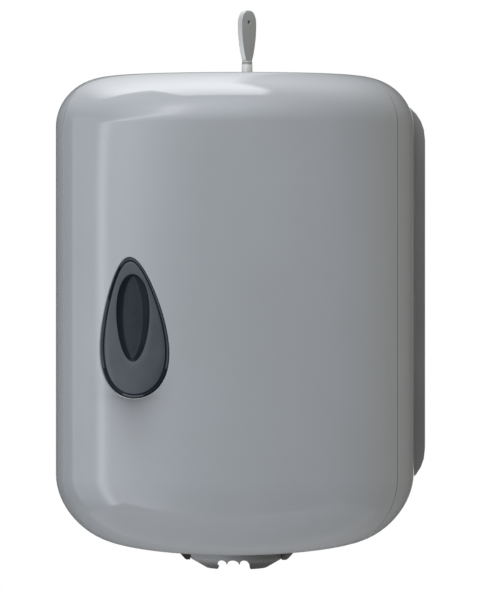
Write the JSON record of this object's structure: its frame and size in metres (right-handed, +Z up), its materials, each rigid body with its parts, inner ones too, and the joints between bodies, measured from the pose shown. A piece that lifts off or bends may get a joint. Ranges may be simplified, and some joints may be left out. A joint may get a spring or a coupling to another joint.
{
  "type": "centrefeed roll dispenser",
  "caption": "Wall-mounted centrefeed paper roll dispenser with a hinged domed cover, a drop-shaped level window, a key lock and a toothed nozzle below.",
  "frame": {"origin": "centre of the back housing's wall face", "axes": "+Z up, +Y into the wall, -Y towards the user, +X to the right as the user sees it"},
  "size_m": [0.2794, 0.2491, 0.4237],
  "materials": {
    "cover": "gloss",
    "housing": "satin",
    "smoked": "gloss",
    "dark": "satin",
    "key": "gloss",
    "steel": "zinc plated"
  },
  "bodies": {
    "back": {"back_housing": "housing", "roll_shelf": "cover", "shelf_screw_1": "steel", "shelf_screw_2": "steel", "shelf_screw_3": "steel", "shelf_screw_4": "steel", "nozzle_collar": "dark", "hinge_pin_left": "steel", "hinge_pin_right": "steel", "lock_barrel": "steel", "lock_nut": "steel"},
    "cover": {"front_cover": "cover", "window_lens": "smoked", "window_retainer": "housing", "latch_tongue": "housing", "tongue_screw_1": "steel", "tongue_screw_2": "steel"},
    "nozzle": {"tear_nozzle": "cover"},
    "lock": {"lock_plug": "steel", "lock_cam": "steel", "cam_screw": "steel"},
    "key": {"key": "key"}
  },
  "joints": [
    {"name": "cover_hinge", "type": "hinge", "parent": "back", "child": "cover", "pos_m": [0, -0.07, -0.174], "axis": [1, 0, 0], "range_deg": [0, 90]},
    {"name": "nozzle_turn", "type": "hinge", "parent": "back", "child": "nozzle", "pos_m": [0, -0.125, -0.2035], "axis": [0, 0, 1], "range_deg": [0, 60]},
    {"name": "lock_turn", "type": "hinge", "parent": "back", "child": "lock", "pos_m": [0.0016, -0.014, 0.133], "axis": [0, 0, 1], "range_deg": [0, 90]},
    {"name": "key_slide", "type": "slide", "parent": "lock", "child": "key", "axis": [0, 0, 1], "range_m": [0, 0.05]}
  ]
}
